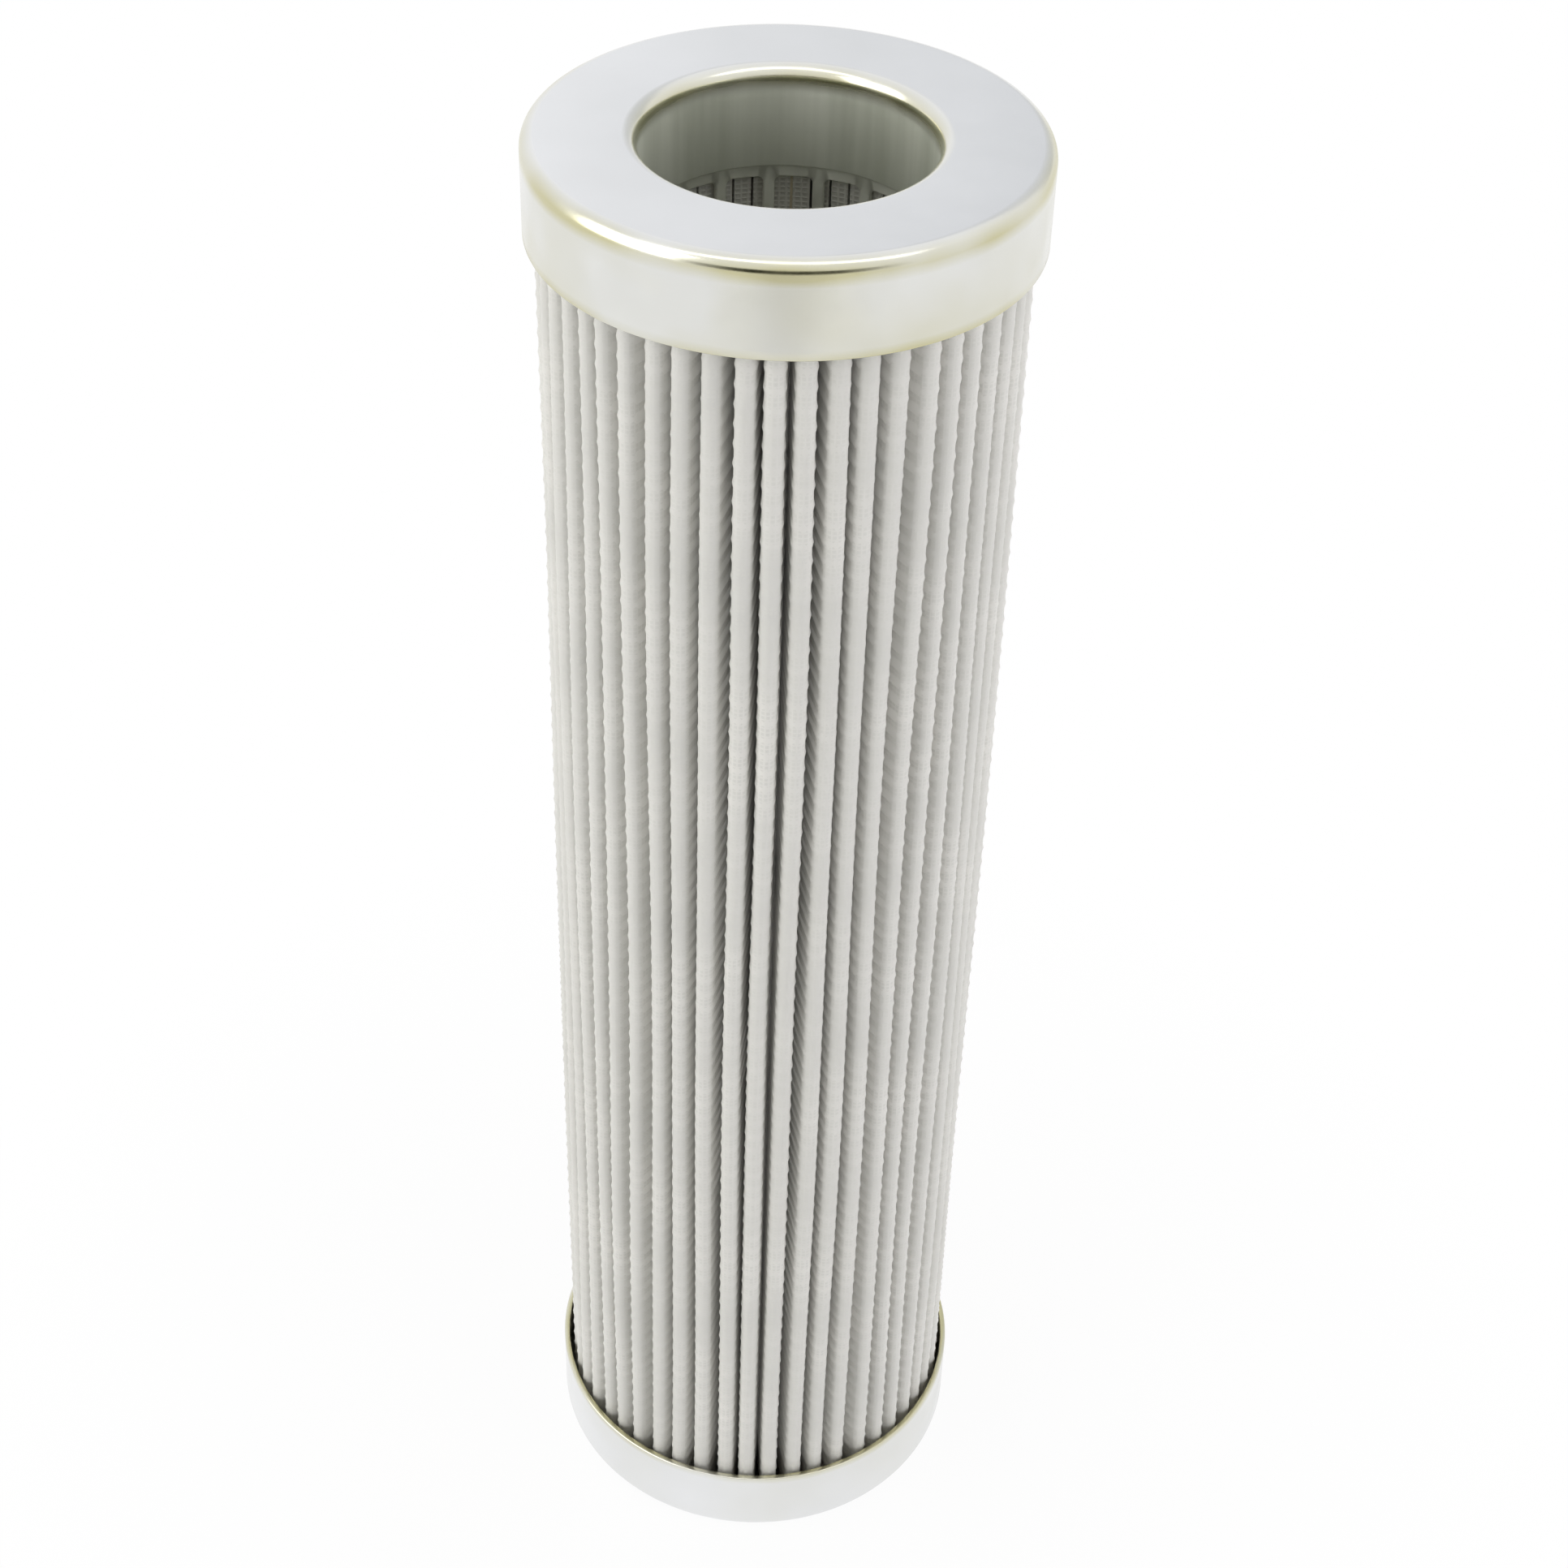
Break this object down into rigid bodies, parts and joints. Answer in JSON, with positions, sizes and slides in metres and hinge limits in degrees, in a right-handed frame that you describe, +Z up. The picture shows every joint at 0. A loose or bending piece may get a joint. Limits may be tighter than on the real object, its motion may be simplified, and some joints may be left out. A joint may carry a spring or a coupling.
{
  "type": "pleated hydraulic filter element",
  "caption": "Tall cylindrical filter element: a folded mesh and glass-fibre pack between two drawn steel caps, with a plain collared bore at the open end.",
  "frame": {"origin": "centre of the closed end's outer face, on the surface the element stands on", "axes": "+Z up along the element's axis, from the closed cap to the open cap; +X and +Y across it"},
  "size_m": [0.06, 0.06, 0.215],
  "materials": {
    "zinc_plate": "satin",
    "core_steel": "satin",
    "coated_mesh": "matte",
    "glass_fibre": "matte",
    "drainage_mesh": "matte",
    "adhesive": "satin"
  },
  "bodies": {
    "root": {"top_end_cap": "zinc_plate", "bottom_end_cap": "zinc_plate", "core_tube": "core_steel", "outer_support_mesh": "coated_mesh", "filter_media": "glass_fibre", "inner_support_mesh": "drainage_mesh", "side_seam": "adhesive", "top_potting": "adhesive", "bottom_potting": "adhesive"}
  },
  "joints": []
}
